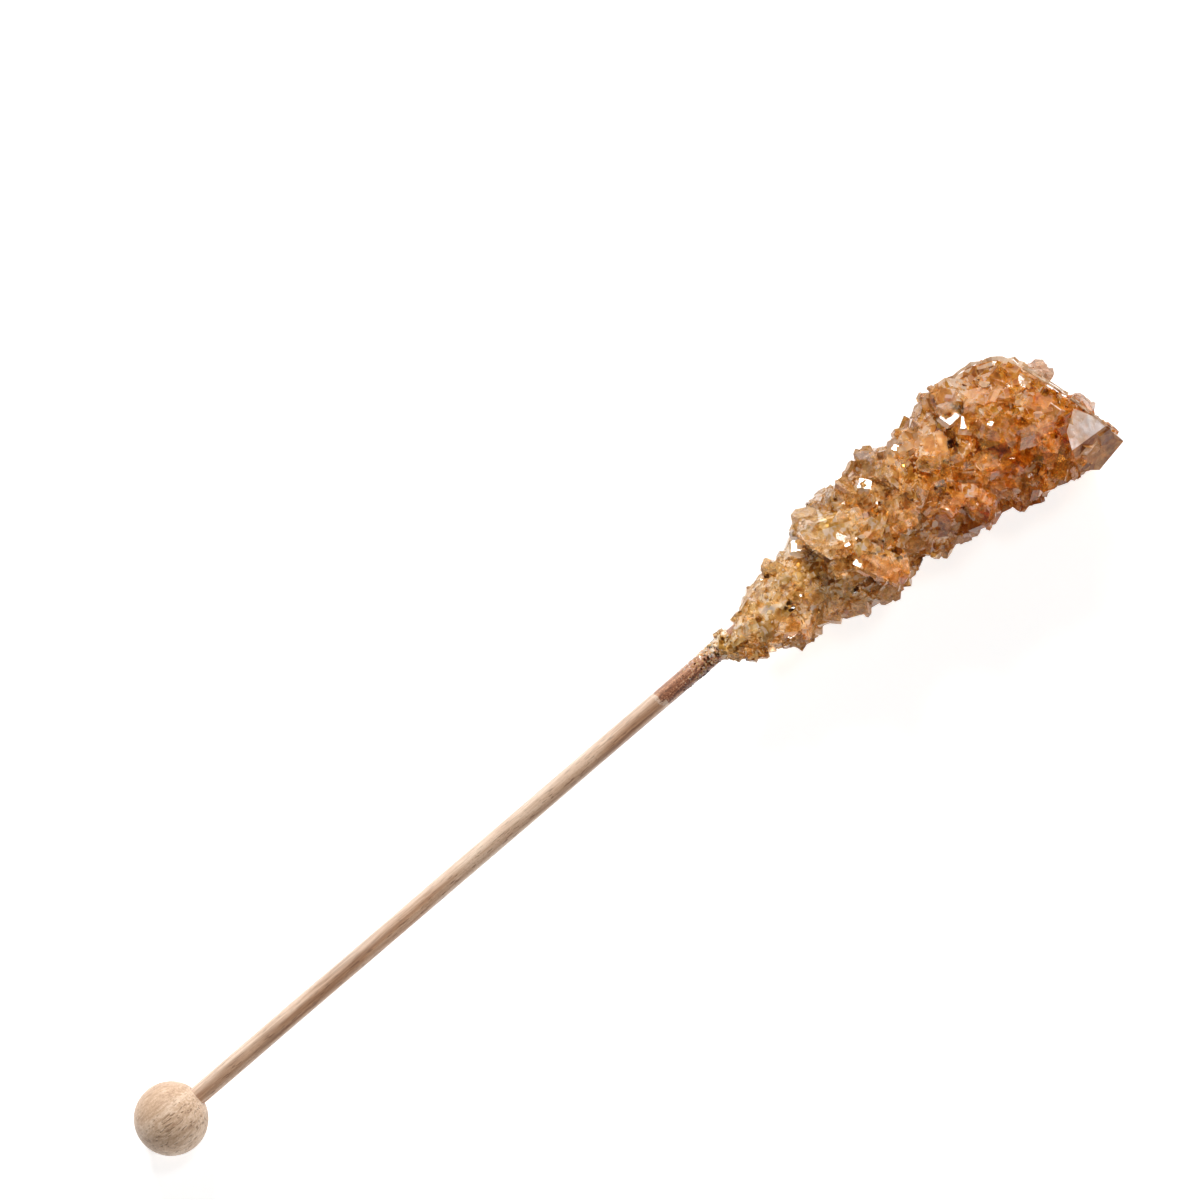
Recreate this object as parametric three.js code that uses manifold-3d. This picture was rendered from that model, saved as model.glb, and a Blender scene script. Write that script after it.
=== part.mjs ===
// Rock candy stick: amber sugar crystals grown round one end of a wooden dowel, with a turned wooden ball
// glued on the other end. Millimetres, +Z up. It lies on a level surface, on the ball and on the crystals'
// underside, with +X along the dowel from the ball to the candy and the origin under the middle of its box.
import * as THREE from "three";
import { ConvexGeometry } from "three/addons/geometries/ConvexGeometry.js";
import { mergeVertices } from "three/addons/utils/BufferGeometryUtils.js";
import Module from "manifold-3d";

// Driving dimensions. Lengths along the dowel are measured from the ball's centre.
const STICK_DIAMETER = 3.0;
const STICK_SIDES = 28;
const BALL_DIAMETER = 11.25;
const BALL_FACE_DIAMETER = 4.4; // the flat that the drill leaves round the hole
const BALL_SIDES = 28;
const BALL_STEPS = 14;
const HOLE_PAST_CENTRE = 2.5; // how far the hole runs past the ball's centre
const CANDY_START = 108; // where the first crystals sit on the dowel
const STICK_IN_CANDY = 54; // how far the dowel runs into the candy
const FIT_GAP = 0.3; // air between the dowel and what it is set in
const CANDY_REST = 0.5; // how much of the candy's lowest points is worn flat where it rests
const BALL_REST = 0.12; // the same on the ball

// The candy's outline at stations from its start: distance along the dowel, offset of the middle to the
// left of the dowel, and half width.
const OUTLINE = [
  [0, 0, 1.8],
  [3, -1.4, 2.9],
  [6.5, -1.5, 4.7],
  [12, -1.2, 6.9],
  [17, -0.5, 6.4],
  [21, -1.9, 8.0],
  [27, -1.2, 9.6],
  [31.5, -0.8, 8.6],
  [37, -2.0, 9.7],
  [43, -2.0, 9.9],
  [49, -2.2, 10.4],
  [55, -3.1, 11.4],
  [60, -4.3, 10.8],
  [64, -5.4, 9.9],
].map((station) => new THREE.Vector3(...station));
const DEPTH_SHARE = 0.92; // the candy's depth as a share of its width
const CORE_SHARE = 0.86; // the grown-together middle as a share of the outline
const CORE_RINGS = 16;
const CORE_SIDES = 18;

// The end grew against a flat surface: a slanted face with a thin crust on it.
const END_ALONG = 62.4; // where the dowel's axis meets the end face
const END_SLANT = THREE.MathUtils.degToRad(18);
const CRUST_THICKNESS = 1.1;
const CRUST_CENTRE = -4.2; // across the dowel
const CRUST_RADIUS = 9.6;
const CRUST_SIDES = 11;

// Crystals, whose habit is that of sugar: a monoclinic cell and the faces that grow slowest.
const CELL = { a: 10.86, b: 8.71, c: 7.76, beta: THREE.MathUtils.degToRad(102.9) };
const FACES = [
  { hkl: [1, 0, 0], distance: 0.7 },
  { hkl: [0, 0, 1], distance: 0.84 },
  { hkl: [1, 0, 1], distance: 0.88 },
  { hkl: [1, 1, 0], distance: 0.98 },
  { hkl: [1, -1, 0], distance: 1.02 },
];
const FACE_SPREAD = 0.18; // how unevenly one crystal's faces grow
const CRYSTAL_COUNT = 120;
const CRYSTAL_AT_START = 3.2;
const CRYSTAL_AT_END = 6.8;
const CRYSTAL_SPREAD = 0.35;
const CRYSTAL_SINK = 0.54; // how far a crystal's middle lies inside the outline, as a share of its size
const GOLDEN_ANGLE = Math.PI * (3 - Math.sqrt(5));

// Blocks large enough to show in the outline: where they sit (along, across, up), size and turn in degrees.
const BLOCKS = [
  { at: [61.4, -10.2, 1.5], size: 9.6, turn: [20, 35, -28] },
  { at: [65.2, -7.8, 2.0], size: 3.8, turn: [0, 50, 10] },
  { at: [63.5, 0.6, 1.0], size: 3.2, turn: [30, 10, 45] },
  { at: [13.0, -4.6, 1.0], size: 5.2, turn: [60, 20, 0] },
  { at: [20.8, -6.2, 1.5], size: 6.2, turn: [15, 70, 30] },
  { at: [27.6, -7.0, 0.0], size: 6.4, turn: [40, 5, 80] },
  { at: [25.2, 3.0, 5.4], size: 9.0, turn: [10, 12, 64] },
  { at: [27.4, -5.4, 6.0], size: 7.2, turn: [0, 20, 24] },
  { at: [36.8, 4.2, 5.6], size: 6.8, turn: [25, 40, 12] },
  { at: [44.2, -8.2, 4.8], size: 6.6, turn: [70, 30, 0] },
  { at: [51.0, 4.6, 5.8], size: 6.8, turn: [50, 0, 30] },
];

const wasm = await Module();
wasm.setup();

// A small seeded generator, so that every build grows the same crystals.
let seed = 20;
function chance() {
  seed = (Math.imul(seed, 1664525) + 1013904223) >>> 0;
  return seed / 2 ** 32;
}
const spread = (share) => 1 + share * (2 * chance() - 1);

function toSolid(geometry) {
  const bare = new THREE.BufferGeometry().setAttribute("position", geometry.getAttribute("position").clone());
  if (geometry.index) bare.setIndex(geometry.index);
  const merged = mergeVertices(bare, 1e-4);
  return new wasm.Manifold(
    new wasm.Mesh({
      numProp: 3,
      vertProperties: merged.getAttribute("position").array,
      triVerts: new Uint32Array(merged.index.array),
    }),
  );
}

function toGeometry(solid) {
  const mesh = solid.getMesh();
  const geometry = new THREE.BufferGeometry();
  geometry.setAttribute("position", new THREE.BufferAttribute(mesh.vertProperties, mesh.numProp));
  geometry.setIndex(new THREE.BufferAttribute(mesh.triVerts, 1));
  const faceted = geometry.toNonIndexed();
  faceted.computeVertexNormals();
  return faceted;
}

const largestBody = (solid) => solid.decompose().sort((p, q) => q.volume() - p.volume())[0];

// Normals of a crystal's faces, each with its twin half a turn about the cell's b axis.
function habit() {
  const { a, b, c, beta } = CELL;
  const normal = (h, k, l) =>
    new THREE.Vector3(h / a, k / b, l / (c * Math.sin(beta)) - h / (a * Math.tan(beta))).normalize();
  return FACES.flatMap(({ hkl: [h, k, l], distance }) => [
    { normal: normal(h, k, l), distance },
    { normal: normal(-h, k, -l), distance },
  ]);
}
const HABIT = habit();

// The corners of the shape that lies inside every face plane.
function corners(planes) {
  const found = [];
  const edge = new THREE.Vector3();
  for (let i = 0; i < planes.length; i++)
    for (let j = i + 1; j < planes.length; j++)
      for (let k = j + 1; k < planes.length; k++) {
        const [p, q, r] = [planes[i], planes[j], planes[k]];
        const volume = p.normal.dot(edge.crossVectors(q.normal, r.normal));
        if (Math.abs(volume) < 1e-3) continue;
        const corner = edge.clone().multiplyScalar(p.distance);
        corner.addScaledVector(edge.crossVectors(r.normal, p.normal), q.distance);
        corner.addScaledVector(edge.crossVectors(p.normal, q.normal), r.distance);
        corner.divideScalar(volume);
        if (planes.every((plane) => plane.normal.dot(corner) < plane.distance + 1e-6)) found.push(corner);
      }
  return found;
}

// One crystal about its own centre, size across its longest way.
function crystal(size, turn) {
  const planes = HABIT.map(({ normal, distance }) => ({
    normal,
    distance: (distance * spread(FACE_SPREAD) * size) / 2,
  }));
  return new ConvexGeometry(corners(planes)).applyQuaternion(turn);
}

function randomTurn() {
  const [u, v, w] = [chance(), 2 * Math.PI * chance(), 2 * Math.PI * chance()];
  const [p, q] = [Math.sqrt(1 - u), Math.sqrt(u)];
  return new THREE.Quaternion(p * Math.sin(v), p * Math.cos(v), q * Math.sin(w), q * Math.cos(w));
}

function stickGeometry(radius, from, to) {
  const rod = new THREE.CylinderGeometry(radius, radius, to - from, STICK_SIDES).rotateZ(-Math.PI / 2);
  return rod.translate((from + to) / 2, 0, 0);
}

// A turned ball with a drilled blind hole that opens towards +X, and a flat round the hole.
function ballGeometry() {
  const radius = BALL_DIAMETER / 2;
  const hole = STICK_DIAMETER / 2 + FIT_GAP;
  const faceAngle = Math.asin(BALL_FACE_DIAMETER / BALL_DIAMETER);
  const profile = [new THREE.Vector2(0, -radius)];
  for (let i = 1; i <= BALL_STEPS; i++) {
    const angle = Math.PI - (i / BALL_STEPS) * (Math.PI - faceAngle);
    profile.push(new THREE.Vector2(radius * Math.sin(angle), radius * Math.cos(angle)));
  }
  profile.push(new THREE.Vector2(hole, radius * Math.cos(faceAngle)));
  profile.push(new THREE.Vector2(hole, -HOLE_PAST_CENTRE - FIT_GAP));
  profile.push(new THREE.Vector2(0, -HOLE_PAST_CENTRE - FIT_GAP));
  return new THREE.LatheGeometry(profile, BALL_SIDES).rotateZ(-Math.PI / 2);
}

const growth = new THREE.CatmullRomCurve3(OUTLINE);

// The grown-together middle of the candy, a lofted club with its rings off the dowel's axis.
function coreGeometry() {
  const rings = Array.from({ length: CORE_RINGS + 1 }, (_, i) => growth.getPoint(i / CORE_RINGS));
  const stations = [rings[0], ...rings, rings.at(-1)];
  const profile = rings.map((ring) => new THREE.Vector2(ring.z * CORE_SHARE, ring.x));
  profile.unshift(new THREE.Vector2(0, rings[0].x));
  profile.push(new THREE.Vector2(0, rings.at(-1).x));
  const core = new THREE.LatheGeometry(profile, CORE_SIDES).rotateZ(-Math.PI / 2);
  const position = core.getAttribute("position");
  for (let i = 0; i < position.count; i++) {
    const middle = stations[i % stations.length].y;
    position.setY(i, position.getY(i) + middle);
    position.setZ(i, position.getZ(i) * DEPTH_SHARE);
  }
  return core;
}

// Crystals all over the core, in golden-angle order so that they cover it evenly, larger towards the end.
function coatCrystals() {
  const grown = [];
  for (let i = 0; i < CRYSTAL_COUNT; i++) {
    const share = Math.sqrt((i + chance()) / CRYSTAL_COUNT);
    const ring = growth.getPoint(share);
    const angle = i * GOLDEN_ANGLE + 0.5 * chance();
    const size = THREE.MathUtils.lerp(CRYSTAL_AT_START, CRYSTAL_AT_END, share) * spread(CRYSTAL_SPREAD);
    const reach = Math.max(ring.z - CRYSTAL_SINK * size, 0.3 * ring.z);
    const piece = crystal(size, randomTurn());
    piece.translate(ring.x, ring.y + reach * Math.cos(angle), DEPTH_SHARE * reach * Math.sin(angle));
    grown.push(piece);
  }
  return grown;
}

// The crust on the end face: a thin plate with an uneven rim.
function crustGeometry() {
  const rim = Array.from({ length: CRUST_SIDES }, (_, i) => {
    const angle = (2 * Math.PI * i) / CRUST_SIDES;
    const radius = CRUST_RADIUS * spread(0.1);
    return new THREE.Vector2(radius * Math.cos(angle), radius * Math.sin(angle));
  });
  const plate = new THREE.ExtrudeGeometry(new THREE.Shape(rim), { depth: CRUST_THICKNESS, bevelEnabled: false });
  return plate.rotateY(Math.PI / 2).translate(-CRUST_THICKNESS, CRUST_CENTRE, 0);
}

// Moves a geometry from the end face's own frame, with its outward normal along +X, to the candy's.
const onEndFace = (geometry) => geometry.rotateZ(END_SLANT).translate(END_ALONG, 0, 0);

function blockGeometry({ at, size, turn }) {
  const [x, y, z] = turn.map(THREE.MathUtils.degToRad);
  return crystal(size, new THREE.Quaternion().setFromEuler(new THREE.Euler(x, y, z))).translate(...at);
}

function candySolid() {
  const beyond = onEndFace(new THREE.BoxGeometry(40, 60, 60).translate(20, 0, 0));
  const mass = wasm.Manifold.union([coreGeometry(), ...coatCrystals()].map(toSolid)).subtract(toSolid(beyond));
  const ends = [onEndFace(crustGeometry()), ...BLOCKS.map(blockGeometry)].map(toSolid);
  const bore = stickGeometry(STICK_DIAMETER / 2 + FIT_GAP, -CANDY_START / 2, STICK_IN_CANDY + FIT_GAP);
  const grown = wasm.Manifold.union([mass, ...ends]).subtract(toSolid(bore));
  return largestBody(grown).translate([CANDY_START, 0, 0]);
}

// The slope at which the candy's lowest points, less CANDY_REST, are level with the ball's.
function restingSlope(solid, ballHeight) {
  const { vertProperties: points, numProp } = solid.getMesh();
  let slope = -Infinity;
  for (let i = 0; i < points.length; i += numProp) {
    const [x, z] = [points[i], points[i + 2]];
    const touching = Math.asin(-(ballHeight + CANDY_REST) / Math.hypot(x, z)) - Math.atan2(z, x);
    slope = Math.max(slope, touching);
  }
  return slope;
}

const candy = candySolid();
const ballHeight = BALL_DIAMETER / 2 - BALL_REST;
const lying = new THREE.Group();
lying.position.z = ballHeight;
lying.rotation.y = -restingSlope(candy, ballHeight);
lying.updateMatrix();

// What lies under the surface is taken off, which leaves the small flats that the piece rests on.
const underSurface = new THREE.BoxGeometry(400, 100, 40).translate(100, 0, -20);
const worn = toSolid(underSurface.applyMatrix4(lying.matrix.clone().invert()));

function addPiece(name, geometry, look) {
  const mesh = new THREE.Mesh(geometry, new THREE.MeshStandardMaterial({ metalness: 0, ...look }));
  mesh.name = name;
  lying.add(mesh);
}

addPiece("stick", stickGeometry(STICK_DIAMETER / 2, -HOLE_PAST_CENTRE, CANDY_START + STICK_IN_CANDY), {
  color: 0xd3a781,
  roughness: 0.75,
});
addPiece("ball", toGeometry(toSolid(ballGeometry()).subtract(worn)), { color: 0xe3c3a1, roughness: 0.7 });
addPiece("candy", toGeometry(candy.subtract(worn)), { color: 0xb27a3c, roughness: 0.15 });

const rockCandyStick = new THREE.Group();
rockCandyStick.add(lying);
rockCandyStick.updateMatrixWorld(true);
const middle = new THREE.Box3().setFromObject(rockCandyStick, true).getCenter(new THREE.Vector3());
lying.position.x -= middle.x;
lying.position.y -= middle.y;

export default rockCandyStick;
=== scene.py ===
"""Looks of a rock candy stick: a beech dowel and ball, and amber sugar crystals round the dowel's end.

Metres, +Z up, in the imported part's own frame.
"""
import itertools
import math

import bpy
import numpy as np
from mathutils import Matrix, Vector
from mathutils.bvhtree import BVHTree


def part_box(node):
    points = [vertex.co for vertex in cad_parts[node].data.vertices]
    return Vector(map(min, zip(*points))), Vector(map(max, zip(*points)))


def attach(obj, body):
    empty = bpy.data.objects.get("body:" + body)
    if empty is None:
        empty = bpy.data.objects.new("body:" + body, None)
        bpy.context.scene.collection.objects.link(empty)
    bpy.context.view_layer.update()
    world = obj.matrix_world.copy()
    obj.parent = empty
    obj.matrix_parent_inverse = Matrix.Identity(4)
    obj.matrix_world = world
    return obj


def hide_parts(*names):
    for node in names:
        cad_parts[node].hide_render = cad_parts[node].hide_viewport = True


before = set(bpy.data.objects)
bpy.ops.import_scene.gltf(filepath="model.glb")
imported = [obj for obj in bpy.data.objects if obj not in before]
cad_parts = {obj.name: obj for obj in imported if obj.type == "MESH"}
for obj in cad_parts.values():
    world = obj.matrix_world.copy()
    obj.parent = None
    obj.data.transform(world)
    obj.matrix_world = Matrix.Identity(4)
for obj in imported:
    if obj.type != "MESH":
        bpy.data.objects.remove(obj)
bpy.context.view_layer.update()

MM = 0.001
FULL_TURN = 2 * math.pi
FAR = 40 * MM  # further from the dowel's axis than any piece reaches
chance = np.random.default_rng(41)


# The frame that the pieces are made in: X along the dowel from the ball's centre, Y to the left, Z up.

def node_points(name):
    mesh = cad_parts[name].data
    points = np.empty(3 * len(mesh.vertices))
    mesh.vertices.foreach_get("co", points)
    return points.reshape(-1, 3)


def middle_of(points):
    return Vector((points.min(0) + points.max(0)) / 2)


def lying_frame():
    """The matrix from the dowel's own frame to the part's, and the ball's radius."""
    points = node_points("stick")
    near_ball = points[:, 0] < points[:, 0].mean()
    near, far = middle_of(points[near_ball]), middle_of(points[~near_ball])
    along = (far - near).normalized()
    side = Vector((0, 1, 0))
    up = along.cross(side)
    low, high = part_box("ball")
    radius = (high.y - low.y) / 2
    centre = near + along * ((low.x + radius - near.x) / along.x)
    turn = Matrix((along, side, up)).transposed()
    return Matrix.Translation(centre) @ turn.to_4x4(), radius


LYING, BALL_RADIUS = lying_frame()
LYING_ARRAY = np.array(LYING)
STICK_RADIUS = 1.5 * MM


def laid(points):
    """Points of the dowel's frame in the part's frame."""
    return points @ LYING_ARRAY[:3, :3].T + LYING_ARRAY[:3, 3]


def stood(points):
    """Points of the part's frame in the dowel's frame."""
    return (points - LYING_ARRAY[:3, 3]) @ LYING_ARRAY[:3, :3]


CANDY = stood(node_points("candy"))
CANDY_START, CANDY_END = CANDY[:, 0].min(), CANDY[:, 0].max()
CANDY_LENGTH = CANDY_END - CANDY_START


# Shader nodes.

class Wire:
    """What a node gives out. Sums on it add Math nodes."""

    def __init__(self, tree, socket):
        self.tree = tree
        self.socket = socket

    def sum(self, operation, first, second):
        return self.tree.add("ShaderNodeMath", {"operation": operation}, {0: first, 1: second})

    def __add__(self, other):
        return self.sum("ADD", self, other)

    def __radd__(self, other):
        return self.sum("ADD", other, self)

    def __sub__(self, other):
        return self.sum("SUBTRACT", self, other)

    def __rsub__(self, other):
        return self.sum("SUBTRACT", other, self)

    def __mul__(self, other):
        return self.sum("MULTIPLY", self, other)

    def __rmul__(self, other):
        return self.sum("MULTIPLY", other, self)


class Tree:
    """A node tree that add() fills."""

    def __init__(self, owner):
        owner.use_nodes = True
        self.nodes = owner.node_tree.nodes
        self.links = owner.node_tree.links
        self.nodes.clear()

    def add(self, kind, settings, sockets, out=0):
        """A node of that kind: its settings come first, then its sockets' values or links."""
        node = self.nodes.new(kind)
        for name, value in settings.items():
            if name == "stops":
                self.set_stops(node.color_ramp, value)
            else:
                setattr(node, name, value)
        for name, value in sockets.items():
            socket = self.socket(node.inputs, name)
            if isinstance(value, Wire):
                self.links.new(value.socket, socket)
            else:
                socket.default_value = value
        return Wire(self, self.socket(node.outputs, out)) if node.outputs else None

    @staticmethod
    def socket(sockets, name):
        if isinstance(name, int):
            return [socket for socket in sockets if socket.enabled][name]
        return next(socket for socket in sockets if socket.enabled and socket.name == name)

    @staticmethod
    def set_stops(ramp, stops):
        while len(ramp.elements) < len(stops):
            ramp.elements.new(1.0)
        for element, (place, colour) in zip(ramp.elements, stops):
            element.position = place
            element.color = (*colour, 1.0)

    def blend(self, share, first, second, way="MIX"):
        """A colour between two, or the product of two."""
        settings = {"data_type": "RGBA", "blend_type": way}
        first, second = (c if isinstance(c, Wire) else (*c, 1.0) for c in (first, second))
        return self.add("ShaderNodeMix", settings, {"Factor": share, "A": first, "B": second})

    def place(self):
        return self.add("ShaderNodeTexCoord", {}, {}, "Object")

    def stretched(self, place, scale):
        return self.add("ShaderNodeVectorMath", {"operation": "MULTIPLY"}, {0: place, 1: scale})

    def pushed(self, vector, push, share):
        """The vector with a share of another one added."""
        sockets = {0: push, 1: (share, share, share), 2: vector}
        return self.add("ShaderNodeVectorMath", {"operation": "MULTIPLY_ADD"}, sockets)

    def noise(self, place, scale, detail=2.0, roughness=0.5):
        sockets = {"Vector": place, "Scale": scale, "Detail": detail, "Roughness": roughness}
        return self.add("ShaderNodeTexNoise", {}, sockets, "Fac")

    def ramp(self, value, stops):
        return self.add("ShaderNodeValToRGB", {"stops": stops}, {"Fac": value}, "Color")

    def reach(self, value, low, high):
        """0 where value is under low, 1 where it is over high."""
        sockets = {"Value": value, "From Min": low, "From Max": high}
        return self.add("ShaderNodeMapRange", {"interpolation_type": "SMOOTHSTEP"}, sockets)

    def cells(self, place, scale):
        """A number for each cell of a solid that is broken into cells."""
        cell = self.add("ShaderNodeTexVoronoi", {}, {"Vector": place, "Scale": scale}, "Color")
        return self.add("ShaderNodeSeparateColor", {}, {"Color": cell}, "Red")

    def along(self, place):
        return self.add("ShaderNodeSeparateXYZ", {}, {"Vector": place}, "X")

    def across(self, place):
        return self.add("ShaderNodeSeparateXYZ", {}, {"Vector": place}, "Y")

    def value_of(self, name):
        return self.add("ShaderNodeAttribute", {"attribute_name": name}, {}, "Fac")

    def finish(self, shader):
        self.add("ShaderNodeOutputMaterial", {}, {"Surface": shader})


def new_material(name):
    material = bpy.data.materials.new(name)
    return material, Tree(material)


def principled(tree, sockets):
    return tree.add("ShaderNodeBsdfPrincipled", {}, sockets, "BSDF")


def bump(tree, height, strength, distance):
    return tree.add("ShaderNodeBump", {}, {"Height": height, "Strength": strength, "Distance": distance})


# Pieces.

def make_piece(name, points, faces, material, slot, smooth=False, **face_values):
    """A mesh in the dowel's frame that rides on the part's one body, with values that its finish reads."""
    mesh = bpy.data.meshes.new(name)
    mesh.from_pydata([tuple(p) for p in points], [], faces)
    mesh.materials.append(material)
    mesh.polygons.foreach_set("use_smooth", [smooth] * len(mesh.polygons))
    for value_name, values in face_values.items():
        mesh.attributes.new(value_name, "FLOAT", "FACE").data.foreach_set("value", values)
    mesh.update()
    piece = bpy.data.objects.new(name, mesh)
    bpy.context.scene.collection.objects.link(piece)
    piece.matrix_world = LYING
    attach(piece, "root")
    return piece


def skin(rings, sides):
    """Faces between rings of points, and one face over each end ring."""
    faces = []
    for i in range(rings - 1):
        for j in range(sides):
            k = (j + 1) % sides
            faces.append((i * sides + j, i * sides + k, (i + 1) * sides + k, (i + 1) * sides + j))
    faces.append(tuple(range(sides - 1, -1, -1)))
    faces.append(tuple(range((rings - 1) * sides, rings * sides)))
    return faces


def round_points(x, radius, angle):
    """Points all round the dowel's axis: a ring at each x, with a radius at each angle."""
    return np.stack([
        np.broadcast_to(x[:, None], radius.shape),
        radius * np.cos(angle),
        radius * np.sin(angle),
    ], -1).reshape(-1, 3)


# Beech.

STAIN_FROM, STAIN_RAGGED = 97.2 * MM, 1.6 * MM

# Paler wood along the dowel: where it fades by the ball, and where it comes and goes further along.
PALE_FADES = (16 * MM, 30 * MM)
PALE_COMES, PALE_GOES = (56 * MM, 66 * MM), (76 * MM, 86 * MM)
PALE_WAVER = 40 * MM


def dowel_finish():
    material, tree = new_material("beech_dowel")
    place = tree.place()
    along = tree.along(place)
    fibre = tree.noise(tree.stretched(place, (140, 3000, 3000)), 1.0, 3.0, 0.6)
    streak = tree.noise(tree.stretched(place, (40, 1100, 1100)), 1.0, 2.0)
    fleck = tree.noise(tree.stretched(place, (600, 4600, 4600)), 1.0, 1.0)
    patch = tree.noise(tree.stretched(place, (28, 60, 60)), 1.0, 2.0)
    speck = tree.noise(place, 3600.0, 2.0, 0.7)
    tone = streak * 0.4 + fibre * 0.3 + patch * 0.3
    reddish = tree.ramp(tone, [
        (0.39, (0.28, 0.13, 0.06)),
        (0.50, (0.49, 0.265, 0.145)),
        (0.61, (0.70, 0.46, 0.30)),
    ])
    cream = tree.ramp(tone, [
        (0.39, (0.42, 0.245, 0.145)),
        (0.50, (0.61, 0.40, 0.265)),
        (0.61, (0.80, 0.62, 0.47)),
    ])
    waver = (patch - 0.5) * PALE_WAVER + along
    paler = tree.reach(waver, *PALE_COMES) - tree.reach(waver, *PALE_GOES)
    paler = paler + (0.5 - tree.reach(waver, *PALE_FADES) * 0.5)
    wood = tree.blend(paler, reddish, cream)
    wood = tree.blend(tree.reach(speck, 0.52, 0.68) * 0.45, wood, (0.36, 0.18, 0.095))
    wood = tree.blend(tree.reach(fleck, 0.60, 0.68) * 0.75, wood, (0.22, 0.105, 0.055))
    ragged = along + (tree.noise(place, 900.0) - 0.5) * STAIN_RAGGED + tree.across(place) * 0.3
    scuffed = tree.reach(ragged, STAIN_FROM - 1.0 * MM, STAIN_FROM - 0.4 * MM)
    wood = tree.blend(scuffed * tree.reach(speck, 0.35, 0.6) * 0.5, wood, (0.78, 0.64, 0.52))
    stained = tree.reach(ragged, STAIN_FROM - 0.12 * MM, STAIN_FROM + 0.12 * MM)
    stain = tree.ramp(streak * 0.2 + fibre * 0.35 + speck * 0.45, [
        (0.40, (0.095, 0.028, 0.011)),
        (0.48, (0.25, 0.080, 0.031)),
        (0.54, (0.42, 0.163, 0.072)),
        (0.61, (0.67, 0.41, 0.25)),
    ])
    stain = tree.blend(tree.reach(fleck, 0.60, 0.70) * 0.7, stain, (0.05, 0.018, 0.01))
    # Paler and creamier on the left side, where the key lamp falls: painted light on the wood and on the
    # stain.
    painted_lit_side = tree.reach(tree.across(place), -0.5 * MM, 1.5 * MM)
    wood = tree.blend(painted_lit_side * (fibre * 1.4 - 0.2), wood, (0.94, 0.77, 0.62))
    stain = tree.blend(painted_lit_side * fibre * 0.6, stain, (0.78, 0.45, 0.28))
    tree.finish(principled(tree, {
        "Base Color": tree.blend(stained, wood, stain),
        "Roughness": 0.38 + speck * 0.12,
        "Normal": bump(tree, fibre + streak * 0.5 + speck * 0.5 - fleck * 0.4, 0.7, 0.1 * MM),
        "Sheen Weight": 1.0,
        "Sheen Roughness": 0.4,
    }))
    return material


DOWEL_SIDES, DOWEL_STEP = 56, 0.6 * MM
DOWEL_START, DOWEL_END = -2 * MM, CANDY_START + 14 * MM
DOWEL_WAVES, WAVE_HEIGHT = 14, 0.0035  # the height is a share of the radius
SHORTEST_WAVE, LONGEST_WAVE = 240, 20  # radians a metre along the dowel
MOST_FLUTES = 8


def make_dowel():
    """A sanded dowel, whose radius wavers a little along it and round it."""
    rings = int((DOWEL_END - DOWEL_START) / DOWEL_STEP)
    x = np.linspace(DOWEL_START, DOWEL_END, rings)
    angle = np.linspace(0, FULL_TURN, DOWEL_SIDES, endpoint=False)
    wobble = np.zeros((rings, DOWEL_SIDES))
    for _ in range(DOWEL_WAVES):
        wave = chance.uniform(LONGEST_WAVE, SHORTEST_WAVE)
        flutes = chance.integers(1, MOST_FLUTES + 1)
        phase = chance.uniform(0, FULL_TURN)
        wobble += np.sin(wave * x[:, None] + flutes * angle + phase)
    points = round_points(x, STICK_RADIUS * (1 + WAVE_HEIGHT * wobble), angle)
    faces = skin(rings, DOWEL_SIDES)
    dowel = make_piece("dowel", points, faces, dowel_finish(), "dowel_wood", smooth=True)
    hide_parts("stick")


RING_DRIFT = 0.5 * MM


def ball_finish():
    material, tree = new_material("beech_ball")
    place = tree.place()
    drift = tree.add("ShaderNodeTexNoise", {}, {"Vector": place, "Scale": 140.0}, "Color")
    warped = tree.pushed(place, drift, RING_DRIFT)
    ring = tree.noise(tree.stretched(warped, (35, 800, 160)), 1.0, 2.0)
    fibre = tree.noise(tree.stretched(warped, (420, 2800, 2800)), 1.0, 2.0, 0.6)
    pore = tree.noise(tree.stretched(warped, (650, 2700, 2700)), 1.0, 1.5)
    speck = tree.noise(place, 3400.0, 2.0, 0.65)
    patch = tree.noise(place, 190.0, 1.0)
    wood = tree.ramp(ring * 0.35 + fibre * 0.4 + speck * 0.25, [
        (0.36, (0.43, 0.26, 0.16)),
        (0.50, (0.61, 0.415, 0.275)),
        (0.63, (0.79, 0.60, 0.45)),
    ])
    shown = tree.reach(patch * (5 * MM) - tree.across(place), -0.5 * MM, 3 * MM)
    opened = tree.reach(pore, 0.57, 0.66) * (0.2 + shown * 0.8)
    tree.finish(principled(tree, {
        "Base Color": tree.blend(opened * 0.75, wood, (0.31, 0.185, 0.105)),
        "Roughness": 0.46 + fibre * 0.15,
        "Normal": bump(tree, fibre * 0.5 + speck * 0.4 - opened, 0.7, 0.12 * MM),
        "Specular IOR Level": 0.35,
        "Sheen Weight": 0.3,
        "Sheen Roughness": 0.4,
    }))
    return material


BALL_SIDES, BALL_STEPS = 96, 60
BALL_BACK = math.pi - 0.02  # the angle of the small ring at its back, which one face closes
FLAT_RADIUS = 2.2 * MM

# The flat round the ball's hole and the hole itself: along from the flat, and radius.
HOLE_PROFILE = [
    (0.06 * MM, FLAT_RADIUS - 0.12 * MM),
    (0.05 * MM, STICK_RADIUS + 0.2 * MM),
    (-0.15 * MM, STICK_RADIUS + 0.06 * MM),
    (-1.5 * MM, STICK_RADIUS + 0.04 * MM),
]


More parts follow.
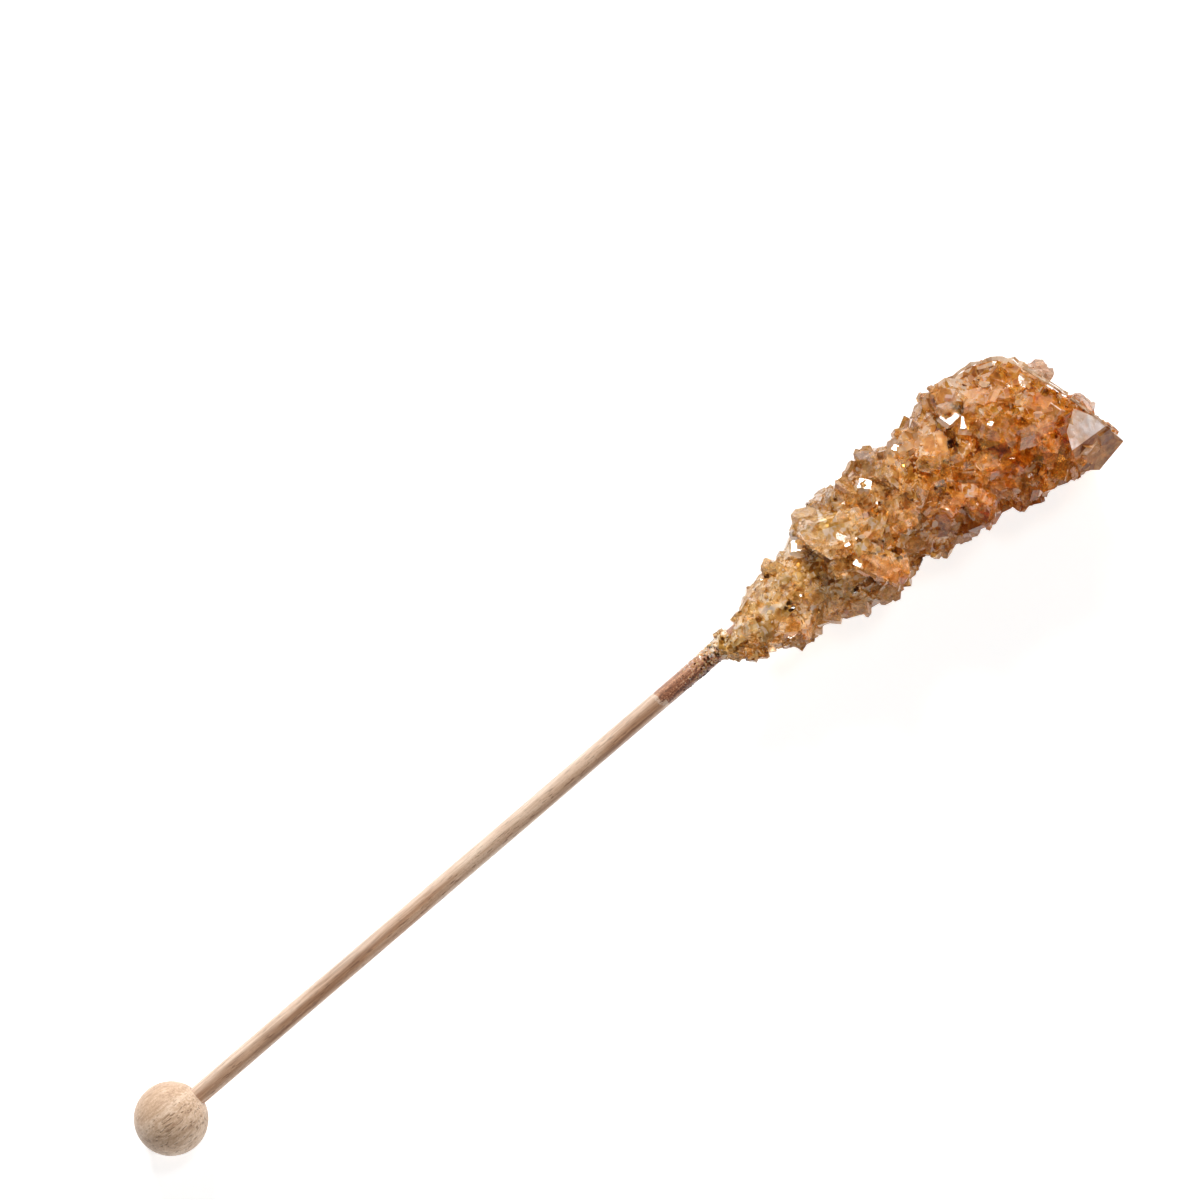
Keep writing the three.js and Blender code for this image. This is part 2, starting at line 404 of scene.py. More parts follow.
def make_ball():
    """The turned ball, with a small flat round its hole and another where it lies on the surface below."""
    flat_angle = math.asin(FLAT_RADIUS / BALL_RADIUS)
    angles = np.linspace(BALL_BACK, flat_angle, BALL_STEPS)
    profile = [(BALL_RADIUS * math.cos(a), BALL_RADIUS * math.sin(a)) for a in angles]
    flat_x = BALL_RADIUS * math.cos(flat_angle)
    profile += [(flat_x + along, radius) for along, radius in HOLE_PROFILE]
    x, radius = np.array(profile).T
    turn = np.linspace(0, FULL_TURN, BALL_SIDES, endpoint=False)
    placed = laid(round_points(x, np.repeat(radius[:, None], BALL_SIDES, 1), turn))
    placed[:, 2] = np.maximum(placed[:, 2], 0)
    faces = skin(len(profile), BALL_SIDES)
    ball = make_piece("ball", stood(placed), faces, ball_finish(), "ball_wood", smooth=True)
    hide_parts("ball")


# Sugar crystals: a monoclinic cell, and the faces that grow slowest.

CELL_A, CELL_B, CELL_C, CELL_BETA = 10.86, 8.71, 7.76, math.radians(102.9)
SUGAR_FACES = {
    (1, 0, 0): 0.66,
    (0, 0, 1): 0.86,
    (1, 0, 1): 1.0,
    (1, 1, 0): 1.0,
    (1, -1, 0): 1.05,
}
FACE_SPREAD = 0.2
SHAPES = 48


def habit():
    """Normals and distances of a crystal's faces, each with its twin half a turn about the b axis."""
    normals, distances = [], []
    for (h, k, l), distance in SUGAR_FACES.items():
        for sign in (1, -1):
            across = sign * (l / (CELL_C * math.sin(CELL_BETA)) - h / (CELL_A * math.tan(CELL_BETA)))
            normals.append(Vector((sign * h / CELL_A, k / CELL_B, across)).normalized())
            distances.append(distance)
    return np.array(normals), np.array(distances)


NORMALS, DISTANCES = habit()


def convex_shape(normals, distances):
    """The shape inside all these planes: its corners, and each plane's face as a round of corners."""
    corners = []
    for trio in itertools.combinations(range(len(normals)), 3):
        planes = normals[list(trio)]
        if abs(np.linalg.det(planes)) > 1e-3:
            corner = np.linalg.solve(planes, distances[list(trio)])
            if (normals @ corner < distances + 1e-7).all():
                corners.append(corner)
    corners = np.unique(np.round(corners, 6), axis=0)
    faces = []
    for normal, reach in zip(normals, distances):
        on = np.flatnonzero(abs(corners @ normal - reach) < 1e-5)
        if len(on) > 2:
            spokes = corners[on] - corners[on].mean(0)
            first = spokes[0] / np.linalg.norm(spokes[0])
            turn = np.arctan2(spokes @ np.cross(normal, first), spokes @ first)
            faces.append(on[np.argsort(turn)])
    return corners, faces


def crystal_shape():
    """One crystal about its own centre, of unit size."""
    uneven = 1 + FACE_SPREAD * chance.uniform(-1, 1, len(DISTANCES))
    return convex_shape(NORMALS, DISTANCES * uneven / 2)


CRYSTAL_SHAPES = [crystal_shape() for _ in range(SHAPES)]


def turn_matrix(quaternion):
    w, x, y, z = quaternion
    return np.array([
        (1 - 2 * (y * y + z * z), 2 * (x * y - w * z), 2 * (x * z + w * y)),
        (2 * (x * y + w * z), 1 - 2 * (x * x + z * z), 2 * (y * z - w * x)),
        (2 * (x * z - w * y), 2 * (y * z + w * x), 1 - 2 * (x * x + y * y)),
    ])


def candy_faces():
    return [tuple(p.vertices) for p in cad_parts["candy"].data.polygons]


CANDY_RINGS, CANDY_SIDES = 70, 48
FIRST_RING, LAST_RING = CANDY_START + 0.8 * MM, CANDY_END - 3 * MM
RING_X = np.linspace(FIRST_RING, LAST_RING, CANDY_RINGS)
RING_ANGLE = np.linspace(0, FULL_TURN, CANDY_SIDES, endpoint=False)
SMOOTHINGS = 3


def outer_radius():
    """How far the candy reaches from the dowel's axis, all round and along it, with crystals smoothed."""
    solid = BVHTree.FromPolygons([tuple(p) for p in CANDY], candy_faces())
    radius = np.empty((CANDY_RINGS, CANDY_SIDES))
    for i, j in np.ndindex(CANDY_RINGS, CANDY_SIDES):
        way = Vector((0, math.cos(RING_ANGLE[j]), math.sin(RING_ANGLE[j])))
        hit = solid.ray_cast(Vector((RING_X[i], 0, 0)) + way * FAR, -way)
        radius[i, j] = FAR - hit[3] if hit[3] else STICK_RADIUS
    for _ in range(SMOOTHINGS):
        radius = (np.roll(radius, 1, 1) + np.roll(radius, -1, 1) + radius) / 3
        radius[1:-1] = (radius[:-2] + radius[2:] + radius[1:-1]) / 3
    return radius


OUTER_RADIUS = outer_radius()
# Where the painted shade in the candy's pits starts under its smoothed outside, and how deep it gets full.
PIT_RIM, PIT_DEPTH = 0.6 * MM, 2.6 * MM


def pit_shade_at(points):
    """0 on the candy's outside, 1 in its pits; it darkens the facets there as painted shade."""
    ring = np.searchsorted(RING_X, points[:, 0]).clip(0, CANDY_RINGS - 1)
    angle = np.arctan2(points[:, 2], points[:, 1]) % FULL_TURN
    side = np.round(angle / FULL_TURN * CANDY_SIDES).astype(int) % CANDY_SIDES
    reach = np.hypot(points[:, 1], points[:, 2])
    return np.clip((OUTER_RADIUS[ring, side] + PIT_RIM - reach) / PIT_DEPTH, 0, 1)


END_SLANT = math.radians(18)
END_NORMAL = np.array((math.cos(END_SLANT), math.sin(END_SLANT), 0))
END_FROM = 59.8 * MM  # how far along that way the end lies from the candy's start


def shrunk(points, share):
    """Points drawn in towards the candy's own middle line."""
    rim = OUTER_RADIUS[..., None] * np.stack([np.cos(RING_ANGLE), np.sin(RING_ANGLE)], -1)
    middle = rim.mean(1)
    centre = np.stack([np.interp(points[:, 0], RING_X, middle[:, i]) for i in range(2)], -1)
    drawn = points.copy()
    drawn[:, 1:] = centre + (points[:, 1:] - centre) * share
    return drawn


MASS_SHARE = 0.93
MASS = shrunk(CANDY, MASS_SHARE)

# Broad faces and thin rims with no small crystals: along from the candy's start, across, and radius.
BARE_FACES = np.array([
    (24.6, 4.0, 2.6),
    (62.3, -8.6, 2.0),
    (63.3, -10.6, 2.8),
    (63.0, -13.6, 3.2),
    (61.9, 4.7, 1.4),
    (60.7, 5.8, 1.4),
    (59.4, 6.6, 1.4),
    (57.8, 7.5, 1.4),
    (56.2, 8.2, 1.4),
    (54.4, 8.5, 1.4),
    (52.6, 8.6, 1.4),
]) * MM
BARE_DOWN_TO = -3 * MM  # lower down, crystals grow there all the same
BORE_REACH = 2 * MM  # from the dowel's axis
END_FACING = 0.9  # the cosine over which a face is one of the slanted end's


def candy_triangles(points):
    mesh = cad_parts["candy"].data
    mesh.calc_loop_triangles()
    corners = np.empty(3 * len(mesh.loop_triangles), int)
    mesh.loop_triangles.foreach_get("vertices", corners)
    return points[corners.reshape(-1, 3)]


def across_of(triangles):
    return np.cross(triangles[:, 1] - triangles[:, 0], triangles[:, 2] - triangles[:, 0])


def off_bore(triangles):
    """The triangles that don't line the hole that the dowel sits in."""
    middle = triangles.mean(1)
    facing = (middle * across_of(triangles))[:, 1:].sum(1)
    return triangles[(np.hypot(middle[:, 1], middle[:, 2]) > BORE_REACH) | (facing > 0)]


def points_on(count, triangles, end_share=1.0):
    """Points spread evenly over triangles, with the way out at each.

    Faces of the candy's slanted end get only that share of the points that their area would bring.
    """
    across = across_of(triangles)
    area = np.linalg.norm(across, axis=1)
    normal = across / np.maximum(area, 1e-12)[:, None]
    weight = area * np.where(normal @ END_NORMAL > END_FACING, end_share, 1)
    picked = chance.choice(len(triangles), count, p=weight / weight.sum())
    u, v = chance.random((2, count))
    over = u + v > 1
    u, v = np.where(over, 1 - u, u), np.where(over, 1 - v, v)
    a, b, c = triangles[picked].transpose(1, 0, 2)
    return a + u[:, None] * (b - a) + v[:, None] * (c - a), normal[picked]


def near_any(spots, sites):
    """Which sites lie within a spot of the plan: along from the candy's start, across, and radius."""
    place = sites[:, None, :2] - (spots[:, :2] + (CANDY_START, 0))
    return (np.linalg.norm(place, axis=2) < spots[:, 2]).any(1)


def growing_sites(count, triangles, end_share):
    """Points spread over the candy's outside, but for its bare faces."""
    sites, outward = points_on(count, triangles, end_share)
    bare = near_any(BARE_FACES, sites) & (sites[:, 2] > BARE_DOWN_TO)
    return sites[~bare], outward[~bare]


def surface_of(triangles):
    corners = [tuple(p) for p in triangles.reshape(-1, 3)]
    return BVHTree.FromPolygons(corners, [(i, i + 1, i + 2) for i in range(0, len(corners), 3)])


OUTSIDE = surface_of(off_bore(candy_triangles(CANDY)))
STAND_OUT = 0.6 * MM
MOST_STAND_OUT = 1.5 * STAND_OUT


def farthest_out(corners):
    """How far a crystal stands out of the solid that it grows on, and the way out there."""
    farthest, way_out = -1.0, None
    for corner in corners:
        corner = Vector(corner)
        near, normal, _, distance = OUTSIDE.find_nearest(corner)
        out = distance if (corner - near).dot(normal) > 0 else -distance
        if out > farthest:
            farthest, way_out = out, normal
    return farthest, np.array(way_out)


def fitted(corners):
    """The crystal drawn in where it stands out too far, or nothing if it still does then."""
    out, way_out = farthest_out(corners)
    if out > STAND_OUT:
        corners = corners - way_out * (out - STAND_OUT)
        out, _ = farthest_out(corners)
    return corners if out < MOST_STAND_OUT else None


# Gaps between crystals, where the larger crystals leave a hole and the smaller ones are painted dark as
# painted shade: along from the candy's start, across, and radius.
SHADED_GAPS = np.array([
    (0.5, -0.1, 0.5),
    (30.2, -6.4, 1.1),
    (26.8, -3.6, 0.7),
    (27.6, -3.9, 0.6),
    (46.5, 0.8, 1.0),
    (44.2, -0.9, 0.7),
    (50.8, 4.0, 0.9),
    (60.0, -4.2, 0.9),
    (52.2, -5.4, 0.8),
    (47.5, -5.0, 0.7),
    (49.6, -6.1, 0.6),
    (12.6, -2.2, 0.8),
    (55.2, -9.4, 0.8),
    (21.4, -6.2, 0.7),
    (62.4, -3.2, 0.7),
]) * MM

# Spots beside the candy that its outline leaves free, given in the same way.
FREE_SPOTS = np.array([
    (20.0, 7.7, 1.0),
]) * MM

# Spots whose facets are dull and don't flash in the lamps, given in the same way.
DULL_SPOTS = np.array([
    (56.4, 4.6, 1.3),
    (56.6, 2.1, 1.3),
    (61.2, 1.6, 1.3),
    (60.0, -2.6, 1.6),
    (44.3, 3.1, 1.9),
    (30.2, 1.1, 0.8),
    (54.6, 6.4, 1.7),
    (49.5, 7.5, 1.3),
    (38.1, 5.1, 1.0),
    (63.8, -0.2, 1.2),
]) * MM
DULLNESS = 0.45

OWN_TONE = 0.45  # a crystal's share in its facets' tones, which else differ
# The tone of crystals in a gap, dark enough to paint the gap's shade.
GAP_SHADE_TONE = -0.4
GAP_FILL = 1.1 * MM  # larger crystals than this leave a gap open


def age_at(points):
    """0 where the candy starts on the dowel, 1 at its end."""
    return np.clip((points[:, 0] - CANDY_START) / CANDY_LENGTH, 0, 1)


class Growth:
    """Crystals gathered into one mesh, with a tone for each facet."""

    def __init__(self):
        self.points = []
        self.faces = []
        self.tones = []
        self.used = 0

    def add(self, corners, rounds, tone=None, tones=None):
        """One crystal, unless it would reach under what the candy lies on or into a free spot."""
        own = chance.random() if tone is None else tone
        if tones is None:
            tones = OWN_TONE * own + (1 - OWN_TONE) * chance.random(len(rounds))
        if laid(corners)[:, 2].min() < 0 or near_any(FREE_SPOTS, corners).any():
            return
        self.points.append(corners)
        self.faces += [tuple(r + self.used) for r in rounds]
        self.tones += list(tones)
        self.used += len(corners)

    def surface(self):
        """The crystals and the mass that they grow on, for finding how high they lie."""
        triangles = off_bore(candy_triangles(MASS)).reshape(-1, 3)
        points = [tuple(p) for p in np.concatenate([*self.points, triangles])]
        below = [(i, i + 1, i + 2) for i in range(self.used, len(points), 3)]
        return BVHTree.FromPolygons(points, self.faces + below)

    def triangles(self):
        """The crystals' faces as triangles."""
        points = np.concatenate(self.points)
        fans = [(f[0], f[i], f[i + 1]) for f in self.faces for i in range(1, len(f) - 1)]
        return points[np.array(fans)]

    def piece(self, name, material):
        points = np.concatenate(self.points)
        near = near_any(DULL_SPOTS, points)
        dull = [float(near[list(face)].any()) for face in self.faces]
        make_piece(name, points, self.faces, material, "amber_sugar", tone=self.tones, dull=dull)


def any_turn():
    quaternion = chance.normal(size=4)
    return turn_matrix(quaternion / np.linalg.norm(quaternion))


def any_crystal():
    return CRYSTAL_SHAPES[chance.integers(SHAPES)]


PROUD_SPREAD = (0.4, 1.6)


def grown_on(sites, outward, sizes, proud, pale=None):
    """Crystals that stand out of the candy by a share of their size, the flatter way of two."""
    in_shaded_gap = near_any(SHADED_GAPS, sites) & (outward[:, 2] > 0)
    growth = Growth()
    for site, way, size, dark in zip(sites, outward, sizes, in_shaded_gap):
        corners, rounds = any_crystal()
        turns = [corners * size @ any_turn().T for _ in range(2)]
        turned = min(turns, key=lambda points: (points @ way).max())
        stand = proud * size * chance.uniform(*PROUD_SPREAD)
        placed = fitted(turned + site + way * (stand - (turned @ way).max()))
        # In a gap, large crystals are left out and small ones get the dark tone of painted shade.
        if placed is not None and not (dark and size > GAP_FILL):
            tones = chance.uniform(*pale, len(rounds)) if pale else None
            growth.add(placed, rounds, tones=[GAP_SHADE_TONE] * len(rounds) if dark else tones)
    return growth


def uneven_sizes(sizes, spread):
    most = 1.5 * spread
    return sizes * np.exp(np.clip(chance.normal(0, spread, len(sizes)), -most, most))


def grow_crystals(name, material, count, at_start, at_end, spread, proud, share, end_share):
    """Crystals all over the candy, of one size where it starts and of another at its end."""
    triangles = off_bore(candy_triangles(shrunk(CANDY, share)))
    sites, outward = growing_sites(count, triangles, end_share)
    sizes = uneven_sizes(at_start + (at_end - at_start) * age_at(sites), spread)
    growth = grown_on(sites, outward, sizes, proud)
    growth.piece(name, material)
    return growth


KEY_AZIMUTH, KEY_HEIGHT = 61, 30


def way_to(azimuth, height):
    a, e = math.radians(azimuth), math.radians(height)
    return Vector((math.cos(a) * math.cos(e), math.sin(a) * math.cos(e), math.sin(e)))


HALFWAY = (way_to(KEY_AZIMUTH, KEY_HEIGHT) + Vector((0, 0, 1))).normalized()

# Single crystals on the upper side that turn a broad face to the light: along from the candy's start,
# across, and size.
GLINTS = [
    (32.9, 4.7, 2.2),
    (48.9, 4.1, 2.4),
    (50.1, 1.8, 2.2),
    (19.3, 4.0, 2.2),
    (25.2, -0.4, 1.1),
    (25.9, 0.3, 0.9),
    (26.4, -0.6, 0.8),
    (39.9, -5.8, 2.0),
    (24.6, -3.6, 1.3),
    (40.1, 5.3, 1.6),
    (52.9, -0.5, 1.0),
    (6.4, -5.1, 0.9),
]
# The glint crystals' tone is pale, a painted highlight beside the lamp's real reflection in their broad
# face.
GLINT_PAINTED_HIGHLIGHT_TONE, GLINT_SCATTER = 0.9, 0.03

# Larger crystals with a broad face: along, across, size, and the way their face leans along and across.
BROAD_BLOCKS = [
    (44.0, -5.9, 2.6, -0.1, 0.15),
    (61.2, -5.2, 2.4, -0.1, 0.2),
]
BROAD_PROUD = 0.2 * MM
LEVEL_STEP = 0.6 * MM


def turn_from_to(first, second):
    return np.array(Vector(first).rotation_difference(Vector(second)).to_matrix())


def level_at(tops, along, across):
    """The middle height of the crystals' tops round a spot of the plan in millimetres."""
    spot = Vector((CANDY_START + along * MM, across * MM, FAR))
    hits = [
        tops.ray_cast(spot + Vector((x, y, 0)), Vector((0, 0, -1)))[0]
        for x, y in itertools.product((-LEVEL_STEP, 0, LEVEL_STEP), repeat=2)
    ]
    return np.array((spot.x, spot.y, np.median([hit.z for hit in hits if hit])))


def faced_crystal(size, way, top):
    """A crystal that turns its broad face a given way, just over a point of the candy's outside."""
    corners, rounds = any_crystal()
    roll = np.array(Matrix.Rotation(chance.uniform(0, FULL_TURN), 3, way))
    turned = corners * size @ turn_from_to(NORMALS[0], way).T @ roll.T
    face = np.array(way)
    return turned + top + face * (BROAD_PROUD - (turned @ face).max()), rounds


def make_glints(tops, material):
    growth = Growth()
    for along, across, size in GLINTS:
        way = (HALFWAY + Vector(chance.normal(0, GLINT_SCATTER, 3))).normalized()
        growth.add(*faced_crystal(size * MM, way, level_at(tops, along, across)), tone=GLINT_PAINTED_HIGHLIGHT_TONE)
    growth.piece("candy_glints", material)


def make_broad_blocks(name, material, blocks, tops, pale):
    growth = Growth()
    for along, across, size, lean_along, lean_across in blocks:
        way = Vector((lean_along, lean_across, 1)).normalized()
        growth.add(*faced_crystal(size * MM, way, level_at(tops, along, across)), tone=pale)
    growth.piece(name, material)


# Steps on the block at the end's lower corner, given as the broad blocks are.
TIP_STEPS = [
    (62.2, -14.0, 3.0, -0.15, -1.2),
    (64.6, -13.2, 2.2, 0.3, -1.5),
    (61.0, -13.0, 2.0, -0.4, -1.7),
]

# The block at the end's lower corner: planes of its faces, each by its way out, a point on it (along from
# the candy's start, across, up) and how pale it is. The top face is the palest and the faces turned left
# are paler than those turned right, out or down: painted light and shade.
TIP_BLOCK = [
    ((0.16, -0.20, 0.965), (62.9, -11.8, 8.5), 0.85),
    ((0.05, -0.78, 0.62), (62.9, -11.8, 8.5), 0.25),
    ((0.98, 0.16, 0.05), (66.1, -13.0, 2.0), 0.2),
    ((0.20, -0.95, -0.25), (61.3, -15.8, 0.0), 0.35),
    ((-0.75, -0.63, -0.20), (59.9, -14.8, 1.0), 0.3),
    ((0.89, 0.44, 0.10), (64.8, -8.7, 8.0), 0.6),
    ((-0.54, 0.84, -0.10), (62.4, -7.9, 9.0), 0.6),
    ((-0.90, 0.43, -0.10), (60.5, -9.6, 9.0), 0.6),
    ((0.0, 0.1, -1.0), (62.0, -11.0, -5.0), 0.3),
]

# Small crystals on that block's sides: how many are tried, and their size, its spread, how far they stand
# out as a share of it, and their tones. A side is steep, and only its lower part has them.
BLOCK_CRYSTALS = 110
BLOCK_CRYSTAL_SIZE, BLOCK_CRYSTAL_SPREAD, BLOCK_CRYSTAL_PROUD = 1.5 * MM, 0.35, 0.12
BLOCK_CRYSTAL_TONES = (0.0, 0.45)
BLOCK_STEEP, BLOCK_LOW = 0.4, 4 * MM

# Thin plates of crust on the end and round its upper edge: plan points from one end to the other with the
# height of the plate's top, all in millimetres from the candy's start, and how wide the plate is.
CRUST = [
    ([(62.1, 2.6, 7.6), (64.5, -4.8, 9.4)], 0.65),
    ([(64.5, -5.5, 9.2), (66.1, -13.2, 4.6)], 0.6),
    ([(52.6, 7.8, 2.2), (56.1, 7.4, 3.0), (59.3, 5.9, 3.8), (61.5, 4.1, 4.6), (62.2, 1.6, 6.4)], 1.7),
]

# In millimetres too: the step along a plate, how deep it goes, and how uneven its top is.
CRUST_STEP, CRUST_DEPTHS, CRUST_UNEVEN = 0.8, (0.8, 2.6), 0.35
# The plates' sides take darker tones than their tops: painted shade.
CRUST_SIDE_SHADE_TONES = (0.15, 0.65)
LAYER_SWAY, LAYER_HALVES = 0.3, (0.3, 0.65)  # as shares of a layer's even width

# The layers from the outer one to the inner one, each with how pale its top is: partly pale sugar, partly
# painted light.
CRUST_LAYERS = [(0.35, 0.9), (0.55, 1.1), (0.0, 0.45)]


def make_tip_block(material):
    ways = np.array([Vector(way).normalized() for way, _, _ in TIP_BLOCK])
    spots = np.array([spot for _, spot, _ in TIP_BLOCK])
    middle = spots.mean(0)
    corners, rounds = convex_shape(ways, ((spots - middle) * ways).sum(1))
    growth = Growth()
    tones = [pale for _, _, pale in TIP_BLOCK]
    growth.add((corners + middle) * MM + (CANDY_START, 0, 0), rounds, tones=tones)
    growth.piece("candy_tip_block", material)
    return growth


def make_block_crystals(block, material):
    """Small crystals on the tip block's sides, which leave its top bare."""
    sites, outward = points_on(BLOCK_CRYSTALS, block.triangles())
    side = (outward[:, 2] < BLOCK_STEEP) & (sites[:, 2] < BLOCK_LOW)
    sizes = uneven_sizes(np.full(side.sum(), BLOCK_CRYSTAL_SIZE), BLOCK_CRYSTAL_SPREAD)
    growth = grown_on(sites[side], outward[side], sizes, BLOCK_CRYSTAL_PROUD, BLOCK_CRYSTAL_TONES)
    growth.piece("candy_block_crystals", material)


def stations_on(line):
    """Points at even steps along a line."""
    line = np.array(line)
    gone = np.append(0, np.cumsum(np.linalg.norm(np.diff(line, axis=0), axis=1)))
    places = np.linspace(0, gone[-1], round(gone[-1] / CRUST_STEP) + 1)
    return np.stack([np.interp(places, gone, line[:, i]) for i in range(3)], -1)


def make_crust(material):
    """Each plate is a few thin layers side by side, uneven in height, width, depth and tone."""
    growth = Growth()
    for line, width in CRUST:
        thick = width / len(CRUST_LAYERS)
        for layer, pale in enumerate(CRUST_LAYERS):
            tops = stations_on(line)
            count = len(tops)
            along = np.gradient(tops, axis=0) * (1, 1, 0)
            inward = np.cross(along / np.linalg.norm(along, axis=1)[:, None], (0, 0, 1))
            middle = thick * (layer - 1 + chance.uniform(-LAYER_SWAY, LAYER_SWAY, count))
            half = thick * chance.uniform(*LAYER_HALVES, count)
            tops[:, 2] += chance.uniform(-CRUST_UNEVEN, CRUST_UNEVEN, count)
            outer = tops + inward * (middle - half)[:, None]
            inner = tops + inward * (middle + half)[:, None]
            deep = chance.uniform(*CRUST_DEPTHS, count)[:, None] * (0, 0, 1)
            points = np.stack([outer - deep, outer, inner, inner - deep], 1).reshape(-1, 3)
            # Sides take darker tones than the tops: painted shade.
            tones = chance.uniform(*CRUST_SIDE_SHADE_TONES, 4 * count - 2)
            tones[1:-2:4] = chance.uniform(*pale, count - 1)
            rounds = [np.array(face) for face in skin(count, 4)]
            growth.add(points * MM + (CANDY_START, 0, 0), rounds, tones=tones)
    growth.piece("candy_crust", material)


# Sugar on the dowel just before the candy. Towards the candy its grains can be larger and stand out
# further, by what the names with MORE say.
NECK_GRAINS = 700
NECK_FROM, NECK_TO = 100 * MM, 111 * MM
FILM_FROM = 0.5  # the share of the way where the grains start to gather on the left and upper side
FILM_ANGLE, FILM_SPREAD = 0.25 * math.pi, 0.9
NECK_SIZE, NECK_SIZE_MORE = 0.25 * MM, 0.6 * MM
NECK_STAND, NECK_STAND_MORE = 0.08 * MM, 0.3 * MM
NECK_TONES, NECK_LEFT_PALER = (0.1, 0.9), 0.3
# Dark grains paint the shade in the film's gaps, more often on the right, away from the lamp.
NECK_GAP_SHADE, NECK_GAP_SHADE_REACH = 0.2, 1.5  # how often a grain is dark, which is more often on the right


def make_neck_sugar(material):
    """Few small grains at first, then a pale film of them on one side, with its gaps painted in dark
    shade.
    """
    growth = Growth()
    for share in chance.random(NECK_GRAINS) ** 0.5:
        x = NECK_FROM + (NECK_TO - NECK_FROM) * share
        filmed = share > FILM_FROM
        angle = chance.normal(FILM_ANGLE, FILM_SPREAD) if filmed else chance.uniform(0, FULL_TURN)
        way = np.array((0, math.cos(angle), math.sin(angle)))
        corners, rounds = any_crystal()
        turned = corners * (NECK_SIZE + NECK_SIZE_MORE * share * chance.random()) @ any_turn().T
        stand = NECK_STAND + NECK_STAND_MORE * share * share * chance.random()
        tones = chance.uniform(*NECK_TONES, len(rounds)) + NECK_LEFT_PALER * way[1]
        if chance.random() < NECK_GAP_SHADE * share * (NECK_GAP_SHADE_REACH - way[1]):
            tones = [GAP_SHADE_TONE] * len(rounds)
        out = way * (STICK_RADIUS + stand - (turned @ way).max())
        growth.add(turned + out + (x, 0, 0), rounds, tones=tones)
    growth.piece("neck_sugar", material)


# Where the candy's left and right sides start and are full, away from its axis, and their tints, which are
# painted light and shade.
LEFT_FROM, LEFT_TO = 1 * MM, 8 * MM
RIGHT_FROM, RIGHT_TO = 0.5 * MM, 9 * MM
LEFT_PAINTED_SHADE, RIGHT_PAINTED_GLOW = (0.86, 0.855, 0.92), (1.0, 0.85, 0.67)
# How much paler the tones get on the candy's left side, where the lamp falls: painted light.
LEFT_PAINTED_LIGHT = 0.05

FROST, FROST_SHARE, FROST_EDGE = (0.62, 0.50, 0.43), 0.75, 0.7 * MM
SUGAR_IOR = 1.54
LAMP_TINT = (0.98, 0.94, 0.88, 1)
FLAKE_TILT = 1.4


def age_share(tree, place):
    """0 for the yellowish sugar at the dowel, 1 for the amber sugar at the end, in uneven patches."""
    age = (tree.along(place) - CANDY_START) * (1 / CANDY_LENGTH)
    return tree.reach(age + (tree.noise(place, 110.0) - 0.5) * 0.6, 0.1, 0.95)


def with_painted_side_light(tree, place, colour):
    """The colour with painted light and shade: warmer on the right, as if lit through the sugar, duller on
    the lit left.
    """
    across = tree.across(place)
    right = tree.reach(0.0 - across, RIGHT_FROM, RIGHT_TO)
    colour = tree.blend(right, colour, RIGHT_PAINTED_GLOW, "MULTIPLY")
    left = tree.reach(across, LEFT_FROM, LEFT_TO)
    return tree.blend(left, colour, LEFT_PAINTED_SHADE, "MULTIPLY")


def painted_light_left(tree, place):
    """What is added to a tone on the candy's left side, where the key lamp falls: painted light."""
    return tree.reach(tree.across(place), LEFT_FROM, LEFT_TO) * LEFT_PAINTED_LIGHT


def sugar_colour(tree, place, shine, tan, amber):
    """The candy's colour by its shine, from the stops of the tan sugar and of the amber sugar."""
    mixed = tree.blend(age_share(tree, place), tree.ramp(shine, tan), tree.ramp(shine, amber))
    return with_painted_side_light(tree, place, mixed)


def frosted(tree, place, colour):
    """The colour, turned pale on the candy's slanted end."""
    slanted = (tree.along(place) - CANDY_START) * END_NORMAL[0] + tree.across(place) * END_NORMAL[1]
    return tree.blend(tree.reach(slanted, END_FROM, END_FROM + FROST_EDGE) * FROST_SHARE, colour, FROST)


def sugar_glass(tree, sockets):
    """Clear sugar, which lamps shine through onto what lies behind it."""
    clear = principled(tree, {"IOR": SUGAR_IOR, **sockets})
    shone = tree.add("ShaderNodeBsdfTransparent", {}, {"Color": LAMP_TINT})
    lamp_ray = tree.add("ShaderNodeLightPath", {}, {}, "Is Shadow Ray")
    return tree.add("ShaderNodeMixShader", {}, {0: lamp_ray, 1: clear, 2: shone})


def mass_finish():
    material, tree = new_material("amber_mass")
    place = tree.place()
    grain = tree.cells(place, 1500.0) * 0.6 + tree.noise(place, 2200.0, 2.0, 0.6) * 0.4
    # Facets deeper in the candy's pits are darker: painted shade.
    shine = tree.value_of("tone") * 0.45 + grain * 0.55 - tree.value_of("depth") * 0.12 + 0.02
    shine = shine + painted_light_left(tree, place)
    tan = [
        (0.24, (0.19, 0.063, 0.005)),
        (0.40, (0.46, 0.245, 0.044)),
        (0.56, (0.69, 0.48, 0.20)),
        (0.74, (0.87, 0.80, 0.70)),
    ]
    amber = [
        (0.24, (0.14, 0.024, 0.0005)),
        (0.40, (0.40, 0.125, 0.003)),
        (0.56, (0.62, 0.30, 0.028)),
        (0.74, (0.81, 0.65, 0.46)),
    ]
    colour = sugar_colour(tree, place, shine, tan, amber)
    tree.finish(sugar_glass(tree, {
        "Base Color": frosted(tree, place, colour),
        "Roughness": 0.02 + grain * 0.06 + tree.value_of("dull") * DULLNESS,
        "Transmission Weight": 0.45,
    }))
    return material


